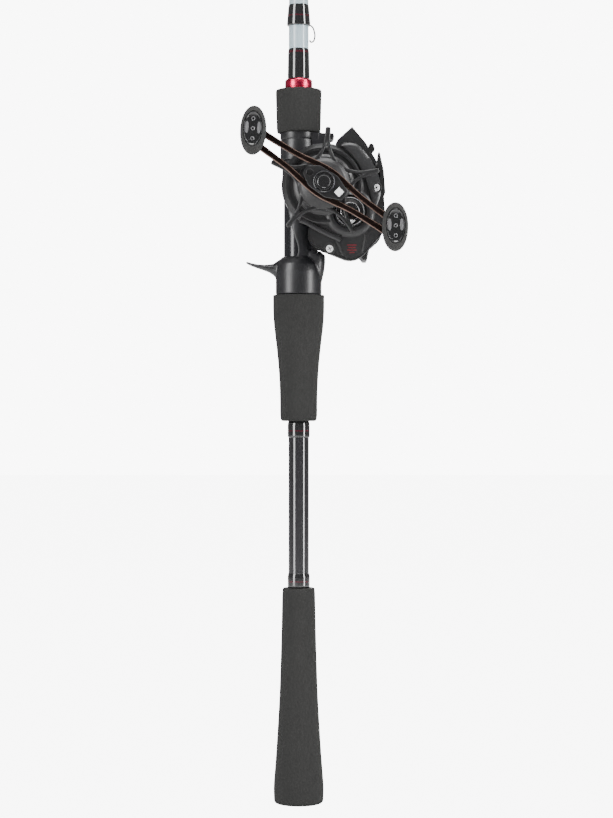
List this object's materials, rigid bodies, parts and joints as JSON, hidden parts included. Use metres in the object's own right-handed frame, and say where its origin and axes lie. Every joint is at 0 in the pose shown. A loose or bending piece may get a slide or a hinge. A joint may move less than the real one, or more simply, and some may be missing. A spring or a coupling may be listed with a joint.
{
  "type": "fishing rod and reel",
  "caption": "One-piece casting rod with split foam grips and trigger seat, carrying a low-profile baitcasting reel with a double-knob crank.",
  "frame": {"origin": "centre of the flat butt end", "axes": "+Z along the rod to the tip, +X to the reel's side, -Y to the crank handle"},
  "size_m": [0.0919, 0.0942, 2.134],
  "materials": {
    "blank_paint": "gloss painted carbon, black at the handle",
    "foam": "fine closed-cell foam",
    "rubber_cap": "matt rubber",
    "wrap_epoxy": "glossy epoxy over thread",
    "seat_plastic": "satin moulded plastic",
    "red_anodised": "red anodised",
    "guide_steel": "dark plated steel",
    "ceramic": "polished ceramic",
    "reel_black": "satin black",
    "frame_black": "satin black coated aluminium",
    "steel": "bright",
    "chrome_trim": "bright",
    "brass_gear": "machined",
    "spool_alloy": "dark anodised",
    "drag_fibre": "woven carbon fibre",
    "handle_alloy": "dark anodised, worn edges",
    "star_black": "satin black",
    "knob_foam": "fine matt rubber",
    "knob_badge": "gloss black"
  },
  "bodies": {
    "rod": {"blank": "blank_paint", "butt_cap": "rubber_cap", "rear_grip": "foam", "handle_wraps": "wrap_epoxy", "mid_grip": "foam", "fore_wrap": "wrap_epoxy", "keeper_wrap": "wrap_epoxy", "hook_keeper": "guide_steel", "reel_seat": "seat_plastic", "guide_frames": "guide_steel", "guide_rings": "ceramic", "guide_wraps": "wrap_epoxy", "tip_top": "guide_steel", "reel_frame": "frame_black", "gear_plate": "frame_black", "gear_side_cover": "reel_black", "palm_side_cover": "reel_black", "front_hood": "reel_black", "side_screws": "steel", "spool_bearings": "steel", "drive_shaft_bearing": "steel", "one_way_clutch": "steel", "guide_rod": "steel"},
    "seat_hood": {"sliding_hood": "seat_plastic"},
    "fore_grip_nut": {"lock_nut": "seat_plastic", "fore_grip": "foam", "winding_check": "red_anodised"},
    "handle": {"handle_arm": "handle_alloy", "handle_nut": "star_black", "nut_retainer": "star_black", "retainer_screw": "chrome_trim", "drive_shaft": "steel", "drive_gear": "brass_gear", "wind_drive_gear": "brass_gear", "drag_washers": "drag_fibre", "drag_springs": "steel", "knob_posts": "steel", "knob_bearings": "steel"},
    "upper_knob": {"knob_upper": "knob_foam", "knob_cap_upper": "knob_badge"},
    "lower_knob": {"knob_lower": "knob_foam", "knob_cap_lower": "knob_badge"},
    "star": {"star_drag": "star_black"},
    "drag_nut": {"star_nut": "steel"},
    "spool_body": {"spool": "spool_alloy", "spool_shaft": "steel"},
    "yoke": {"clutch_yoke": "steel"},
    "pinion": {"pinion_gear": "brass_gear"},
    "worm": {"worm_shaft": "steel", "worm_gear": "brass_gear"},
    "level_wind": {"line_guide": "reel_black", "line_guide_insert": "ceramic", "pawl": "steel"},
    "thumb": {"thumb_bar": "reel_black"},
    "cast_control": {"cast_control_cap": "chrome_trim"},
    "brake_dial_body": {"brake_dial": "reel_black"},
    "brake_magnets": {"magnet_ring": "steel"}
  },
  "joints": [
    {"name": "hood_slide", "type": "slide", "parent": "rod", "child": "seat_hood", "axis": [0, 0, 1], "range_m": [0, 0.012]},
    {"name": "fore_grip_turn", "type": "hinge", "parent": "seat_hood", "child": "fore_grip_nut", "pos_m": [0, 0, 0.39], "axis": [0, 0, 1], "range_deg": [0, 2880]},
    {"name": "handle_turn", "type": "hinge", "parent": "rod", "child": "handle", "pos_m": [0.01405, 0, 0.3497], "axis": [0, 1, 0], "continuous": true},
    {"name": "upper_knob_spin", "type": "hinge", "parent": "handle", "child": "upper_knob", "pos_m": [-0.02449, 0, 0.37589], "axis": [0, 1, 0], "continuous": true},
    {"name": "lower_knob_spin", "type": "hinge", "parent": "handle", "child": "lower_knob", "pos_m": [0.05259, 0, 0.32351], "axis": [0, 1, 0], "continuous": true},
    {"name": "star_drag_turn", "type": "hinge", "parent": "handle", "child": "star", "pos_m": [0.01405, 0, 0.3497], "axis": [0, 1, 0], "range_deg": [-180, 180]},
    {"name": "drag_nut_travel", "type": "slide", "parent": "star", "child": "drag_nut", "axis": [0, 1, 0], "range_m": [-0.0004, 0.0004]},
    {"name": "spool_turn", "type": "hinge", "parent": "rod", "child": "spool_body", "pos_m": [0.02865, 0, 0.33452], "axis": [0, 1, 0], "continuous": true},
    {"name": "yoke_slide", "type": "slide", "parent": "rod", "child": "yoke", "axis": [0, -1, 0], "range_m": [0, 0.0012]},
    {"name": "pinion_turn", "type": "hinge", "parent": "yoke", "child": "pinion", "pos_m": [0.02865, 0, 0.33452], "axis": [0, 1, 0], "continuous": true},
    {"name": "worm_turn", "type": "hinge", "parent": "rod", "child": "worm", "pos_m": [0.03, 0, 0.362], "axis": [0, 1, 0], "continuous": true},
    {"name": "line_guide_slide", "type": "slide", "parent": "rod", "child": "level_wind", "axis": [0, 1, 0], "range_m": [-0.0075, 0.0075]},
    {"name": "thumb_press", "type": "slide", "parent": "rod", "child": "thumb", "axis": [-1, 0, 0], "range_m": [0, 0.004]},
    {"name": "cast_control_turn", "type": "hinge", "parent": "rod", "child": "cast_control", "pos_m": [0.02865, 0, 0.33452], "axis": [0, 1, 0], "range_deg": [-180, 180]},
    {"name": "brake_dial_turn", "type": "hinge", "parent": "rod", "child": "brake_dial_body", "pos_m": [0.02865, 0, 0.33452], "axis": [0, 1, 0], "range_deg": [0, 240]},
    {"name": "magnet_slide", "type": "slide", "parent": "rod", "child": "brake_magnets", "axis": [0, -1, 0], "range_m": [0, 0.0018]}
  ],
  "couplings": [
    {"joint": "hood_slide", "follows": "fore_grip_turn", "m_per_rad": 0.00023873},
    {"joint": "spool_turn", "follows": "handle_turn", "ratio": -7.3077},
    {"joint": "pinion_turn", "follows": "handle_turn", "ratio": -7.3077},
    {"joint": "worm_turn", "follows": "handle_turn", "ratio": -2.8462},
    {"joint": "drag_nut_travel", "follows": "star_drag_turn", "m_per_rad": 0.00011937},
    {"joint": "yoke_slide", "follows": "thumb_press", "ratio": 0.3},
    {"joint": "brake_dial_turn", "follows": "magnet_slide", "rad_per_m": 2327.1}
  ]
}
